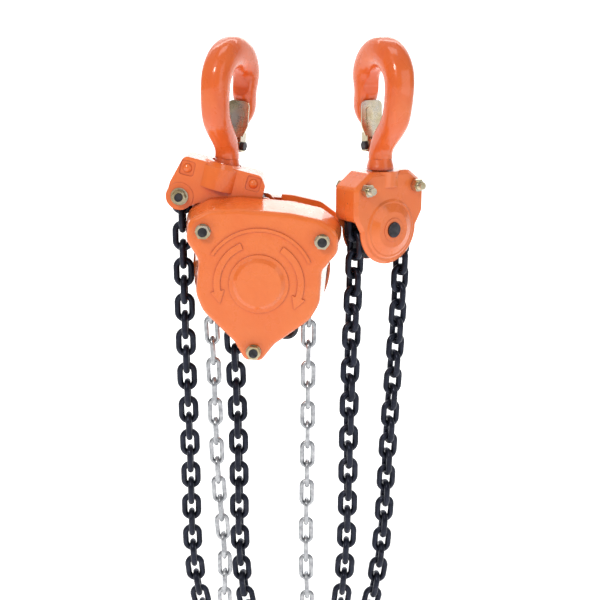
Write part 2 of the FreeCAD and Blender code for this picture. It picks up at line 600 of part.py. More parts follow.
def make_gears():
    """Input pinion, two disc gears and the load gear, meshed on both sides of the shaft."""
    # The pinion's nine teeth show a tooth to the left and a gap to the right; the load gear's
    # thirty-one show a gap to the left and a tooth to the right.
    for name, side in DISC_SIDES:
        x = side * GEAR_DISTANCE
        big = gear(DISC_TEETH, OUTER_MODULE, -PINION_SHIFT, *DISC_GEAR_Y,
                   180.0 if side > 0 else 180.0 / DISC_TEETH)
        small = gear(PINION_TEETH, INNER_MODULE, PINION_SHIFT, LOAD_GEAR_Y[0] - 0.6, LOAD_GEAR_Y[1] + 1.0, 0.0)
        axle = cylinder((0, PLATE_INNER_Y + 0.5, 0), (0, 1, 0), DISC_AXLE_RADIUS,
                        AXLE_END_Y - PLATE_INNER_Y - 0.5)
        collar = cylinder((0, LOAD_GEAR_Y[1] + 1.0, 0), (0, 1, 0), 10.0, DISC_GEAR_Y[0] - LOAD_GEAR_Y[1] - 1.0)
        disc = join([big, small, axle, collar])
        disc.translate(V(x, 0, 0))
        keep("disc_gear_" + name, body_place(disc))
    thin_from = LOAD_GEAR_Y[1] + 2.0
    shaft = cylinder((0, SHAFT_FRONT_Y, 0), (0, 1, 0), SHAFT_RADIUS, thin_from + 1.0 - SHAFT_FRONT_Y)
    thin = cylinder((0, thin_from, 0), (0, 1, 0), DISC_AXLE_RADIUS - 0.1, AXLE_END_Y - thin_from)
    pinion = gear(PINION_TEETH, OUTER_MODULE, PINION_SHIFT, DISC_GEAR_Y[0] - 0.5, DISC_GEAR_Y[1] + 0.5, 180.0)
    keep("drive_shaft", body_place(join([shaft, thin, pinion])))
    load = gear(LOAD_GEAR_TEETH, INNER_MODULE, -PINION_SHIFT, *LOAD_GEAR_Y, 0.0)
    load = load.cut(cylinder((0, LOAD_GEAR_Y[0] - 1, 0), (0, 1, 0), LOAD_SPLINE_RADIUS, 12))
    keep("load_gear", body_place(load))


def load_sheave(phase):
    half = PLATE_INNER_Y - RUN_GAP
    drum = pocket_sheave(LOAD_POCKETS, LOAD_PITCH_RADIUS, LOAD_CHAIN_WIRE, LOAD_CHAIN_WIDTH,
                         LOAD_CHAIN_PITCH, 40.0, half, SHAFT_RADIUS + 1.0, phase)
    journals = [tube((0, s * (half - 0.1), 0), (0, s, 0), JOURNAL_RADIUS, SHAFT_RADIUS + 1.0,
                     PLATE_OUTER_Y - half + 0.9) for s in (-1, 1)]
    spline = tube((0, PLATE_OUTER_Y, 0), (0, 1, 0), LOAD_SPLINE_RADIUS, SHAFT_RADIUS + 1.0, 12.0)
    return join([drum, spline] + journals)


# ------------------------------------------------------------------ brake and hand wheel
RATCHET_TEETH = 12
RATCHET_Y = (-PLATE_OUTER_Y - 11.9, -PLATE_OUTER_Y - 7.9)
RATCHET_TIP_RADIUS = 35.0
RATCHET_ROOT_RADIUS = 31.0
LINING_RADIUS = 30.0
LINING_THICKNESS = 2.0
HUB_RADIUS = 12.2            # the sleeve on which linings and ratchet ride
HUB_FLANGE_Y = (-PLATE_OUTER_Y - 5.5, -PLATE_OUTER_Y - 1.5)
HUB_END_Y = -PLATE_OUTER_Y - 14.3
PAWL_PIN_RADIUS = 2.5
BRAKE_COVER_RADIUS = 51.0
BRAKE_COVER_Y = -PLATE_OUTER_Y - 18.5
WHEEL_BOSS_RADIUS = 28.0
WHEEL_NUT_Y = -PLATE_OUTER_Y - 43.1


def ratchet():
    points = []
    for i in range(RATCHET_TEETH):
        for radius, share in ((RATCHET_TIP_RADIUS, 0.0), (RATCHET_ROOT_RADIUS, 0.05),
                              (RATCHET_ROOT_RADIUS, 0.3)):
            angle = 2 * math.pi * (i + share) / RATCHET_TEETH
            points.append(V(radius * math.cos(angle), RATCHET_Y[0], radius * math.sin(angle)))
    wheel = Part.Face(Part.makePolygon(points + points[:1])).extrude(
        V(0, RATCHET_Y[1] - RATCHET_Y[0], 0))
    return wheel.cut(cylinder((0, -40, 0), (0, 1, 0), HUB_RADIUS + RUN_GAP, 20))


def pawl(x, z):
    """Pawl on its pin, its nose just outside the ratchet's teeth."""
    out = math.atan2(z, x)
    y0, y1 = RATCHET_Y
    eye = cylinder((x, y0, z), (0, 1, 0), 5.0, y1 - y0)
    turn = out + math.radians(27)
    reach = RATCHET_TIP_RADIUS + 1.2
    nose = V(reach * math.cos(turn), y0, reach * math.sin(turn))
    normal = V(math.cos(out), 0, math.sin(out))
    root = V(x, y0, z)
    corners = [root - normal * 4.2, nose, nose + normal * 3.0, root + normal * 4.6]
    arm = Part.Face(Part.makePolygon(corners + corners[:1])).extrude(V(0, y1 - y0, 0))
    return join([eye, arm]).cut(cylinder((x, -40, z), (0, 1, 0), PAWL_PIN_RADIUS + FIT_GAP, 20))


def make_brake():
    flange = cylinder((0, HUB_FLANGE_Y[0], 0), (0, 1, 0), LINING_RADIUS + 2.0,
                      HUB_FLANGE_Y[1] - HUB_FLANGE_Y[0])
    sleeve = cylinder((0, HUB_END_Y, 0), (0, 1, 0), HUB_RADIUS, HUB_FLANGE_Y[1] - HUB_END_Y - 1.0)
    hub = join([flange, sleeve]).cut(cylinder((0, -40, 0), (0, 1, 0), SHAFT_RADIUS, 30))
    keep("brake_hub", body_place(hub))
    for side, y in (("inner", RATCHET_Y[1] + 0.2), ("outer", RATCHET_Y[0] - LINING_THICKNESS - 0.2)):
        lining = tube((0, y, 0), (0, 1, 0), LINING_RADIUS, HUB_RADIUS + RUN_GAP, LINING_THICKNESS)
        keep("friction_disc_" + side, body_place(lining))
    keep("ratchet_disc", body_place(ratchet()))
    pins = []
    for name, (x, z) in zip(("pawl_upper", "pawl_lower"), PAWL_POINTS):
        keep(name, body_place(pawl(x, z)))
        pins.append(join([cylinder((x, -PLATE_OUTER_Y - 15.0, z), (0, 1, 0), PAWL_PIN_RADIUS, 15.0),
                          cylinder((x, -PLATE_OUTER_Y - 7.2, z), (0, 1, 0), 4.5, 7.2)]))
    keep("pawl_pins", body_place(Part.makeCompound(pins)))
    ring = tube((0, BRAKE_COVER_Y, 0), (0, 1, 0), BRAKE_COVER_RADIUS, BRAKE_COVER_RADIUS - 2.4,
                -PLATE_OUTER_Y - BRAKE_COVER_Y)
    front = tube((0, BRAKE_COVER_Y, 0), (0, 1, 0), BRAKE_COVER_RADIUS, WHEEL_BOSS_RADIUS + 8.0, 2.0)
    keep("brake_cover", body_place(join([ring, front])))


def hand_wheel(phase):
    half = HAND_WHEEL_WIDTH / 2
    rim = pocket_sheave(HAND_POCKETS, HAND_PITCH_RADIUS, HAND_CHAIN_WIRE, HAND_CHAIN_WIDTH,
                        HAND_CHAIN_PITCH, HAND_PITCH_RADIUS + 4.0, half, SHAFT_RADIUS, phase)
    dish = cylinder((0, -half - 1, 0), (0, 1, 0), 38.0, 7.0).cut(
        cylinder((0, -half - 1, 0), (0, 1, 0), 17.0, 7.0))
    rim = rim.cut(dish)
    rim.translate(V(0, HAND_WHEEL_Y, 0))
    boss = tube((0, HUB_END_Y, 0), (0, -1, 0), WHEEL_BOSS_RADIUS, SHAFT_RADIUS, 6.0)
    return join([rim, boss])


def cover_outlines():
    """Front edge with its waist, and the fuller rear edge, corner for corner."""
    front = mirrored([(28, 79.0, 40), (58, 75, 16), (80.0, 62, 14), (80.5, 40, 12), (66, 20, 14),
                      (67, -17, 24), (58, -36, 30), (22, -67, 16), (9, -87, 8)])
    rear = mirrored([(29, 84.5, 44), (61, 80, 18), (85.0, 65, 16), (85.5, 38, 14), (73, 16, 16),
                     (72.5, -19, 26), (62, -41, 32), (26, -71, 18), (12, -91, 10)])
    return front, rear


def cover_loft(front, rear, step):
    """Solid between the two outlines with a rounded front edge, all `step` inside the skin."""
    face_y = COVER_FRONT_Y + step
    rings = []
    for share in range(5):
        angle = math.radians(90 * share / 4)
        rings.append(rounded_wire(grown(front, -COVER_EDGE * (1 - math.sin(angle)) - step),
                                  face_y + COVER_EDGE * (1 - math.cos(angle))))
    rings.append(rounded_wire(grown(rear, -step), COVER_REAR_Y + (0.5 if step else 0)))
    return join([Part.makeLoft(list(pair), True, True) for pair in zip(rings, rings[1:])])


def raised_band(r0, r1, a0, a1, height):
    """Raised strip of a ring on the cover's front, from angle a0 to a1 in degrees."""
    def at(radius, degrees):
        a = math.radians(degrees)
        return V(radius * math.cos(a), COVER_FRONT_Y - height, radius * math.sin(a))
    mid = (a0 + a1) / 2
    edges = [Part.Arc(at(r1, a0), at(r1, mid), at(r1, a1)).toShape(), Part.makeLine(at(r1, a1), at(r0, a1)),
             Part.Arc(at(r0, a1), at(r0, mid), at(r0, a0)).toShape(), Part.makeLine(at(r0, a0), at(r1, a0))]
    return Part.Face(Part.Wire(edges)).extrude(V(0, height + 0.5, 0))


def raised_arrow(a0, a1, turn):
    """Curved arrow of generic shape; `turn` is the sense that its head points in."""
    radius, half = 45.0, 3.5
    shaft = raised_band(radius - half, radius + half, a0, a1, 1.3)
    tip = math.radians(a1 if turn > 0 else a0)
    along = V(-math.sin(tip) * turn, 0, math.cos(tip) * turn)
    out = V(math.cos(tip), 0, math.sin(tip))
    centre = V(radius * math.cos(tip), COVER_FRONT_Y - 1.3, radius * math.sin(tip))
    corners = [centre + out * 7.5 - along, centre + along * 13.0, centre - out * 7.5 - along]
    return shaft.fuse(Part.Face(Part.makePolygon(corners + corners[:1])).extrude(V(0, 1.8, 0)))


def hand_wheel_cover():
    front, rear = cover_outlines()
    shell = cover_loft(front, rear, 0.0).cut(cover_loft(front, rear, COVER_WALL))
    openings = [box(s * 62 - 28, s * 62 + 28, COVER_FRONT_Y + COVER_WALL + 1.5, 0, -84, -16) for s in (-1, 1)]
    shell = cut(shell, openings)
    marks = [cylinder((0, COVER_FRONT_Y + 0.5, 0), (0, -1, 0), 32.0, 1.7),
             Part.makeCone(28.0, 24.0, 3.0, V(0, COVER_FRONT_Y - 1.1, 0), V(0, -1, 0)),
             raised_band(57.0, 60.5, 28, 152, 1.4),
             raised_arrow(118, 196, 1), raised_arrow(-16, 62, -1)]
    return cut(join([shell] + marks), stay_holes(STAY_RADIUS + FIT_GAP, -90, 0))


CASE_FLANGE_Y = PLATE_OUTER_Y + 0.3


def gear_case():
    y0 = CASE_FLANGE_Y
    drum = cylinder((0, y0, 0), (0, 1, 0), CASE_RADIUS, CASE_REAR_Y - y0 - 6)
    back = Part.makeCone(CASE_RADIUS, CASE_RADIUS - 8, 6.0, V(0, CASE_REAR_Y - 6, 0), V(0, 1, 0))
    ears = [cylinder((x, y0, z), (0, 1, 0), 12.0, 5.0) for x, z in STAY_POINTS]
    dome = Part.makeCone(24.0, 18.0, 3.0, V(0, CASE_REAR_Y, 0), V(0, 1, 0))
    inside = cylinder((0, y0 - 1, 0), (0, 1, 0), CASE_RADIUS - CASE_WALL, CASE_REAR_Y - y0 - 4)
    rim = plate(cover_outlines()[1], y0, y0 + CASE_FLANGE)
    shell = join([drum, back, rim] + ears).cut(inside)
    web = cylinder((0, y0, -76), (0, 1, 0), 9.5, 5.0)
    bosses = [cylinder((x, DISC_GEAR_Y[1] + 2.0, 0), (0, 1, 0), 10.0, 8.0)
              for x in (-GEAR_DISTANCE, 0, GEAR_DISTANCE)]
    holes = stay_holes(STAY_RADIUS + FIT_GAP, 0, CASE_FLANGE_Y + 12)
    holes += [cylinder((x, DISC_GEAR_Y[1] - 6.0, 0), (0, 1, 0), DISC_AXLE_RADIUS + FIT_GAP,
                       AXLE_END_Y + 6.5 - DISC_GEAR_Y[1]) for x in (-GEAR_DISTANCE, 0, GEAR_DISTANCE)]
    holes += [cylinder((x, CASE_FLANGE_Y + 5.0, z), (0, 1, 0), 9.0, 12.0) for x, z in STAY_POINTS]
    # Room for the yoke: its side plates, then its hump.
    holes.append(box(-90, 16, y0 - 1, YOKE_HALF_DEPTH + 0.7, 60, 95))
    holes.append(box(-50, 16, y0 - 1, YOKE_HUMP_REACH + 2.0, CASE_RADIUS + 1.0, 95))
    return cut(join([shell, dome, web] + bosses), holes)


def make_body():
    make_frame()
    make_gears()
    make_brake()
    keep("hand_wheel_cover", body_place(hand_wheel_cover()))
    keep("gear_case", body_place(gear_case()))
    wheel_nut = nut((0, WHEEL_NUT_Y, 0), (0, -1, 0), 19.0, 3.6, SHAFT_RADIUS)
    keep("hand_wheel_nut", body_place(wheel_nut))


# ------------------------------------------------------------------ chains
# Each chain is laid link by link along a path.  Flat links lie across the sheave's plane and
# upright ones in it; they turn about the ends of the flat links.
OUTER_LOOP = ((-57.4, 0, -300), (-56.5, 1, -470), (-51, 3, -610), (-14, 7, -700), (62, 11, -738),
              (134, 15, -700), (169, 18, -610), (180, 19.5, -450), (187.5, 20.1, -280))
INNER_LOOP = ((132.5, -20.1, -280), (131, -19, -450), (126, -18, -600), (107, -15, -664), (66, -10, -690),
              (25, -5, -664), (5, -2, -600), (1.5, -1, -450), (-1.0, 0, -300))
LOOP_STRAIGHT_END = -590.0    # above this height the falls are straight and take up the twist
SLACK_END = (66.0, 0, -290)
HAND_SIDES = ((-21.5, -300), (-18.5, -450), (-14.0, -560)), ((82.0, -560), (82.3, -450), (83.6, -300))
HAND_CHAIN_PAIRS = 24


def spline_edge(points, first_tangent=None, last_tangent=None):
    curve = Part.BSplineCurve()
    if first_tangent is None:
        curve.interpolate([V(*p) for p in points])
    else:
        curve.interpolate(Points=[V(*p) for p in points], InitialTangent=first_tangent,
                          FinalTangent=last_tangent)
    return curve.toShape()


def over_arc(centre, radius, yaw):
    """Half turn over the top of a sheave, from its right side to its left."""
    side = V(math.cos(math.radians(yaw)), math.sin(math.radians(yaw)), 0) * radius
    return Part.Arc(centre + side, centre + V(0, 0, radius), centre - side).toShape()


def trail(edges):
    """Close points along the edges, end to end, each with its edge's number."""
    points = []
    for number, (edge, backwards) in enumerate(edges):
        run = edge.discretize(Number=max(8, int(edge.Length / 0.4)))
        if backwards:
            run = run[::-1]
        points += [(p, number) for p in (run if not points else run[1:])]
    return points


def march(points, chords, stop=None):
    """Pivots along the trail, stepping by the chords in turn until the trail or `stop` ends."""
    pivots = [points[0]]
    index, step = 0, 0
    while stop is None or step < stop:
        here, chord = pivots[-1][0], chords[step % len(chords)]
        ahead = index + 1
        while ahead < len(points) and (points[ahead][0] - here).Length < chord:
            ahead += 1
        if ahead >= len(points):
            break
        low, high = points[ahead - 1][0], points[ahead][0]
        near, far = (low - here).Length, (high - here).Length
        share = (chord - near) / (far - near)
        pivots.append((low + (high - low) * share, points[ahead][1]))
        index = ahead - 1
        step += 1
    return pivots


def link_shape(wire, pitch, width):
    """One link lying in XY, its length along X."""
    bend = (width - wire) / 2
    straight = pitch + 2 * wire - width
    pieces = []
    for s in (-1, 1):
        pieces.append(cylinder((-straight / 2, s * bend, 0), (1, 0, 0), wire / 2, straight))
        torus = Part.makeTorus(bend, wire / 2, V(0, 0, 0), V(0, 0, 1), -180, 180, 180)
        torus.rotate(V(0, 0, 0), V(0, 0, 1), -90 if s > 0 else 90)
        torus.translate(V(s * straight / 2, 0, 0))
        pieces.append(torus)
    return join(pieces)


def set_link(link, first, second, flat, yaw):
    """The link carried to between two pivots; `yaw` turns the sheave's axis about Z."""
    along = (second - first).normalize()
    axis = V(-math.sin(math.radians(yaw)), math.cos(math.radians(yaw)), 0)
    axis = (axis - along * axis.dot(along)).normalize()
    across = axis if flat else along.cross(axis)
    turn = FreeCAD.Rotation(along, across, along.cross(across), "XYZ")
    copy = link.copy()
    copy.Placement = FreeCAD.Placement((first + second) * 0.5, turn)
    return copy


def pocket_phase(pivots, number, centre, tilt, yaw):
    """Angle, in the sheave's own plane, of the middle of the flat link nearest its top."""
    best = None
    for i in range(1, len(pivots) - 1, 2):
        if pivots[i][1] == number and pivots[i + 1][1] == number:
            middle = (pivots[i][0] + pivots[i + 1][0]) * 0.5 - centre
            if best is None or middle.z > best.z:
                best = middle
    side = best.x * math.cos(math.radians(yaw)) + best.y * math.sin(math.radians(yaw))
    return math.degrees(math.atan2(best.z, side)) + tilt


def link_yaw(number, here, first, last):
    """Turn of a link about Z: each fall untwists from its sheave to the plane of its loop."""
    if number == 1:
        return BLOCK_YAW
    if number > 2:
        return 0.0
    left, right = (first, last) if number == 0 else (last, first)
    plane = math.degrees(math.atan2(right.y - left.y, right.x - left.x))
    near_block = abs(here.x - right.x) < abs(here.x - left.x)
    top, end_yaw = (right.z, BLOCK_YAW) if near_block else (left.z, 0.0)
    share = max(0.0, (here.z - LOOP_STRAIGHT_END) / (top - LOOP_STRAIGHT_END))
    return plane + (end_yaw - plane) * min(1.0, share)


def load_chain():
    """The whole load chain: yoke, outer fall, block, inner fall, hoist, slack end."""
    wire = LOAD_CHAIN_WIRE
    body = V(BODY_CENTRE[0], 0, BODY_CENTRE[1])
    block = V(BLOCK_X, 0, BLOCK_AXLE_Z)
    start = world_point(ANCHOR_LOCAL, YOKE_ORIGIN, YOKE_TILT)
    start.z += ANCHOR_PIN_RADIUS + FIT_GAP - (wire + CHAIN_SLACK) / 2
    down, up, radius = V(0, 0, -1), V(0, 0, 1), LOAD_PITCH_RADIUS
    side = V(math.cos(math.radians(BLOCK_YAW)), math.sin(math.radians(BLOCK_YAW)), 0) * radius
    edges = [
        (spline_edge([tuple(start)] + list(OUTER_LOOP) + [tuple(block + side)], down, up), False),
        (over_arc(block, radius, BLOCK_YAW), False),
        (spline_edge([tuple(block - side)] + list(INNER_LOOP) + [tuple(body - V(radius, 0, 0))], down, up),
         False),
        (over_arc(body, radius, 0), True),
        (Part.makeLine(body + V(radius, 0, 0), V(*SLACK_END)), False)]
    points = trail(edges)
    pivots = march(points, (LOAD_CHAIN_PITCH - wire - CHAIN_SLACK, LOAD_CHAIN_PITCH + wire))
    if len(pivots) % 2 == 0:
        pivots.pop()
    link = link_shape(wire, LOAD_CHAIN_PITCH, LOAD_CHAIN_WIDTH)
    names = ("load_chain_outer_loop", "load_chain_on_idle_sheave", "load_chain_inner_loop",
             "load_chain_on_load_sheave", "load_chain_slack_end")
    groups = {name: [] for name in names}
    spans = [[i for i, p in enumerate(pivots) if p[1] == n] for n in range(5)]
    for i in range(len(pivots) - 1):
        number = pivots[i + 1][1]
        yaw = link_yaw(number, pivots[i][0], pivots[spans[number][0]][0], pivots[spans[number][-1]][0])
        groups[names[number]].append(set_link(link, pivots[i][0], pivots[i + 1][0], i % 2 == 1, yaw))
    for name in names:
        keep(name, Part.makeCompound(groups[name]))
    print("load chain: %d links, %.0f mm laid" % (len(pivots) - 1, sum(e.Length for e, _ in edges)))
    idle_phase = pocket_phase(pivots, 1, block, 0.0, BLOCK_YAW)
    load_phase = pocket_phase(pivots, 3, body, BODY_TILT, 0.0)
    return idle_phase, load_phase, pivots[-1][0]


def hand_chain_trail(depth):
    """Closed trail of the hand chain from the wheel's left side, over it, down and back."""
    centre = V(BODY_CENTRE[0], HAND_WHEEL_Y, BODY_CENTRE[1])
    radius = HAND_PITCH_RADIUS
    left, right = HAND_SIDES
    bend = [(-4.0, depth + 27), (31.0, depth), (70.0, depth + 27)]
    run = [(x, HAND_WHEEL_Y, z) for x, z in list(left) + bend + list(right)]
    ends = centre - V(radius, 0, 0), centre + V(radius, 0, 0)
    loop = spline_edge([tuple(ends[0])] + run + [tuple(ends[1])], V(0, 0, -1), V(0, 0, 1))
    return trail([(over_arc(centre, radius, 0), True), (loop, True)]), loop.Length + math.pi * radius


def hand_chain():
    """Endless hand chain; its loop is let down until the last link meets the first."""
    chords = (HAND_CHAIN_PITCH + HAND_CHAIN_WIRE, HAND_CHAIN_PITCH - HAND_CHAIN_WIRE - CHAIN_SLACK)

    def overshoot(depth):
        points, _ = hand_chain_trail(depth)
        pivots = march(points, chords)
        return len(pivots) - 1 - 2 * HAND_CHAIN_PAIRS

    low, high = -820.0, -600.0
    for _ in range(18):
        middle = (low + high) / 2
        if overshoot(middle) >= 0:
            low = middle
        else:
            high = middle
    points, length = hand_chain_trail(low)
    pivots = march(points, chords, 2 * HAND_CHAIN_PAIRS)
    gap = (pivots[-1][0] - pivots[0][0]).Length
    pivots[-1] = (pivots[0][0], pivots[-1][1])
    link = link_shape(HAND_CHAIN_WIRE, HAND_CHAIN_PITCH, HAND_CHAIN_WIDTH)
    groups = {"hand_chain_on_wheel": [], "hand_chain_loop": []}
    for i in range(len(pivots) - 1):
        name = "hand_chain_on_wheel" if pivots[i + 1][1] == 0 else "hand_chain_loop"
        groups[name].append(set_link(link, pivots[i][0], pivots[i + 1][0], i % 2 == 0, 0.0))
    for name, links in groups.items():
        keep(name, Part.makeCompound(links))
    print("hand chain: %d links, %.0f mm, bottom %.0f, closes within %.3f"
          % (len(pivots) - 1, length, low, gap))
    centre = V(BODY_CENTRE[0], HAND_WHEEL_Y, BODY_CENTRE[1])
    first = (pivots[2][0] + pivots[3][0]) * 0.5 - centre
    return math.degrees(math.atan2(first.z, first.x)) + BODY_TILT


def chain_end_ring(last):
    """Pear-shaped stop ring through the last link of the slack end, hung a little askew."""
    wire = 3.2
    small = LOAD_CHAIN_WIRE / 2 + wire + 0.45
    radius, drop, askew = 11.0, 16.5, 24.0
    lean = math.asin((radius - small) / drop)
    out = V(math.cos(lean), 0, math.sin(lean))
    a, b = out * small, V(0, 0, -drop) + out * radius
    far_a, far_b = [V(-p.x, 0, p.z) for p in (a, b)]
    path = Part.Wire([Part.Arc(a, V(0, 0, small), far_a).toShape(), Part.makeLine(far_a, far_b),
                      Part.Arc(far_b, V(0, 0, -drop - radius), b).toShape(), Part.makeLine(b, a)])
    circle = Part.Wire([Part.Circle(a, b - a, wire).toShape()])
    ring = path.makePipeShell([circle], True, True)
    ring.rotate(V(0, 0, 0), V(0, 1, 0), askew)
    ring.translate(last - V(0, 0, FIT_GAP))
    keep("chain_end_ring", ring)


# ------------------------------------------------------------------ bottom block
BLOCK_TOP_Z = HOOK_SEAT
BLOCK_WALL = 4.5
BLOCK_EDGE = 4.0
BLOCK_DRUM_RADIUS = 39.5
BLOCK_BOLTS = ((-35.5, -106.0), (35.5, -106.0))
BLOCK_BOLT_RADIUS = 4.0
BLOCK_BOLT_ACROSS = 13.0
BLOCK_BOLT_REACH = 13.0      # how far a bolt's threaded end stands out
BLOCK_HUMP_RADIUS = 21.5
WHEEL_ROOM_RADIUS = 48.0
CHEEK_INNER_Y = PLATE_INNER_Y + RUN_GAP


def block_shell():
    """Both halves of the housing: stepped domed cheeks, open below where the chain runs."""
    depth = BLOCK_HALF_DEPTH
    outline = mirrored([(28, BLOCK_TOP_Z, 8), (49.5, -104, 8), (49.5, -136, 14), (32, -166, 12)])
    face = CHEEK_INNER_Y + BLOCK_WALL
    levels = (-face, -face + BLOCK_EDGE, face - BLOCK_EDGE, face)
    rings = [rounded_wire(grown(outline, -BLOCK_EDGE if abs(y) == face else 0.0), y) for y in levels]
    solid = join([Part.makeLoft(list(pair), True, True) for pair in zip(rings, rings[1:])])
    axle = (0, -face, BLOCK_AXLE_Z)
    drum = cylinder(axle, (0, 1, 0), BLOCK_DRUM_RADIUS, 2 * face)
    drum = drum.makeChamfer(BLOCK_EDGE * 0.8, drum.Edges)
    solid = solid.fuse(drum)
    hump = cylinder((0, 0, BLOCK_TOP_Z), (0, 0, -1), BLOCK_HUMP_RADIUS, 17.0)
    domes = []
    for side in (-1, 1):
        start = side * (CHEEK_INNER_Y + BLOCK_WALL - 0.1)
        domes.append(Part.makeCone(33.5, 31.0, 1.6, V(0, start, BLOCK_AXLE_Z), V(0, side, 0)))
        domes.append(Part.makeCone(29.0, 20.0, 4.0, V(0, start + side * 1.6, BLOCK_AXLE_Z), V(0, side, 0)))
        domes.append(cylinder((0, start, BLOCK_AXLE_Z), (0, side, 0), 13.0, depth - abs(start) + 1.5))
    solid = join([solid, hump] + domes)
    wheel_room = cylinder((0, -CHEEK_INNER_Y, BLOCK_AXLE_Z), (0, 1, 0), WHEEL_ROOM_RADIUS,
                          2 * CHEEK_INNER_Y)
    half = WHEEL_ROOM_RADIUS + 1.0
    below = box(-half, half, -CHEEK_INNER_Y, CHEEK_INNER_Y, -200, BLOCK_AXLE_Z)
    roof = box(-half, half, -CHEEK_INNER_Y - 1, CHEEK_INNER_Y + 1, BLOCK_TOP_Z - HOOK_SEAT_WALL - 9.0, -80)
    holes = [cylinder((x, -40, z), (0, 1, 0), BLOCK_BOLT_RADIUS + FIT_GAP, 80) for x, z in BLOCK_BOLTS]
    holes.append(cylinder((0, -40, BLOCK_AXLE_Z), (0, 1, 0), BLOCK_AXLE_RADIUS, 80))
    return cut(solid, [wheel_room.cut(roof), below] + holes + [hook_socket()])


def make_block(idle_phase):
    whole = block_shell()
    keep("block_front_half", block_place(whole.common(box(-90, 90, -60, 0, -260, 0))))
    keep("block_rear_half", block_place(whole.common(box(-90, 90, 0, 60, -260, 0))))
    bolts = []
    face = CHEEK_INNER_Y + BLOCK_WALL
    for x, z in BLOCK_BOLTS:
        bolts.append(join([cylinder((x, -face - BLOCK_BOLT_REACH, z), (0, 1, 0), BLOCK_BOLT_RADIUS,
                                    2 * face + BLOCK_BOLT_REACH),
                           hexagon((x, face, z), (0, 1, 0), BLOCK_BOLT_ACROSS, 5.0),
                           hexagon((x, -face, z), (0, -1, 0), BLOCK_BOLT_ACROSS, 6.5)]))
    keep("block_bolts", block_place(Part.makeCompound(bolts)))
    axle = cylinder((0, -BLOCK_HALF_DEPTH - 3.0, BLOCK_AXLE_Z), (0, 1, 0), BLOCK_AXLE_RADIUS - FIT_GAP,
                    2 * BLOCK_HALF_DEPTH + 6.0)
    keep("idle_sheave_axle", block_place(axle))
    wheel = pocket_sheave(LOAD_POCKETS, LOAD_PITCH_RADIUS, LOAD_CHAIN_WIRE, LOAD_CHAIN_WIDTH,
                          LOAD_CHAIN_PITCH, 38.5, PLATE_INNER_Y - RUN_GAP, BLOCK_AXLE_RADIUS + 0.2,
                          idle_phase)
    wheel.translate(V(0, 0, BLOCK_AXLE_Z))
    keep("idle_sheave", block_place(wheel))


def write_all():
    os.makedirs("parts", exist_ok=True)
    for name, shape in NODES.items():
        solids = shape.Solids
        bad = [s for s in solids if not s.isValid()]
        note = "  INVALID" if bad or not solids else ""
        print("%-28s solids %3d volume %10.1f%s" % (name, len(solids), shape.Volume, note))
        shape.exportStep("parts/%s.step" % name)


if __name__ == "__main__":
    make_hooks()
    make_yoke()
    make_body()
    idle_angle, load_angle, chain_end = load_chain()
    keep("load_sheave", body_place(load_sheave(load_angle)))
    keep("hand_wheel", body_place(hand_wheel(hand_chain())))
    chain_end_ring(chain_end)
    make_block(idle_angle)
    write_all()
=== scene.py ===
"""Looks of the hand chain hoist: camera, studio, finishes and the small parts that only show."""
import json
import math

import bpy
from mathutils import Matrix, Vector


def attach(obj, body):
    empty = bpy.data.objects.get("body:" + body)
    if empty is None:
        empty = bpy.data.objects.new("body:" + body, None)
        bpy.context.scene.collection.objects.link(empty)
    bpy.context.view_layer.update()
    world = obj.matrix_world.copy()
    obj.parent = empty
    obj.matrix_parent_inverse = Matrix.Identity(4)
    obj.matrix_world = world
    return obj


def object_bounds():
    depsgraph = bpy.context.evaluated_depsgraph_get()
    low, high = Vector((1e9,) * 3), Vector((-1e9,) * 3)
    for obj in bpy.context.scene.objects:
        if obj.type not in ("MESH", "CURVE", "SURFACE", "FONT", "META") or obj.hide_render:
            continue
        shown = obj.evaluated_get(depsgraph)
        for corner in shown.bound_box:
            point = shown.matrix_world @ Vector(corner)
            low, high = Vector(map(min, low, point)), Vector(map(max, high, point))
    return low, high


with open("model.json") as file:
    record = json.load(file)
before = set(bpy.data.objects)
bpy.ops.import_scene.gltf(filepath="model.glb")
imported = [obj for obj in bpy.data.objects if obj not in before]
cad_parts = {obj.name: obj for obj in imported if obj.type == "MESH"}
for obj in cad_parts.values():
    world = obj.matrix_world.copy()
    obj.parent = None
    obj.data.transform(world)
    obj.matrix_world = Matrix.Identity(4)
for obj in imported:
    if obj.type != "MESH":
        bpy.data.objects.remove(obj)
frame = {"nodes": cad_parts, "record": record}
NODES = frame["nodes"]
cad_low, cad_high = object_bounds()


# ------------------------------------------------------------------ camera and studio
CAMERA_PLACE = (0.0745, -1.105, 0.0585)
CAMERA_PITCH = 15.0          # degrees below the horizon
CAMERA_LENS = 60.0
SENSOR = 36.0
FLOOR_DROP = 0.05            # floor below the lowest link
WORLD_STRENGTH = 0.30


def make_camera():
    data = bpy.data.cameras.new("camera")
    data.lens = CAMERA_LENS
    data.sensor_width = SENSOR
    camera = bpy.data.objects.new("camera", data)
    camera.location = CAMERA_PLACE
    camera.rotation_euler = (math.radians(90 - CAMERA_PITCH), 0, 0)
    bpy.context.scene.collection.objects.link(camera)
    bpy.context.scene.camera = camera


def new_mesh(name, vertices, faces, smooth=True):
    mesh = bpy.data.meshes.new(name)
    mesh.from_pydata(vertices, [], faces)
    mesh.update()
    for polygon in mesh.polygons:
        polygon.use_smooth = smooth
    thing = bpy.data.objects.new(name, mesh)
    bpy.context.scene.collection.objects.link(thing)
    return thing


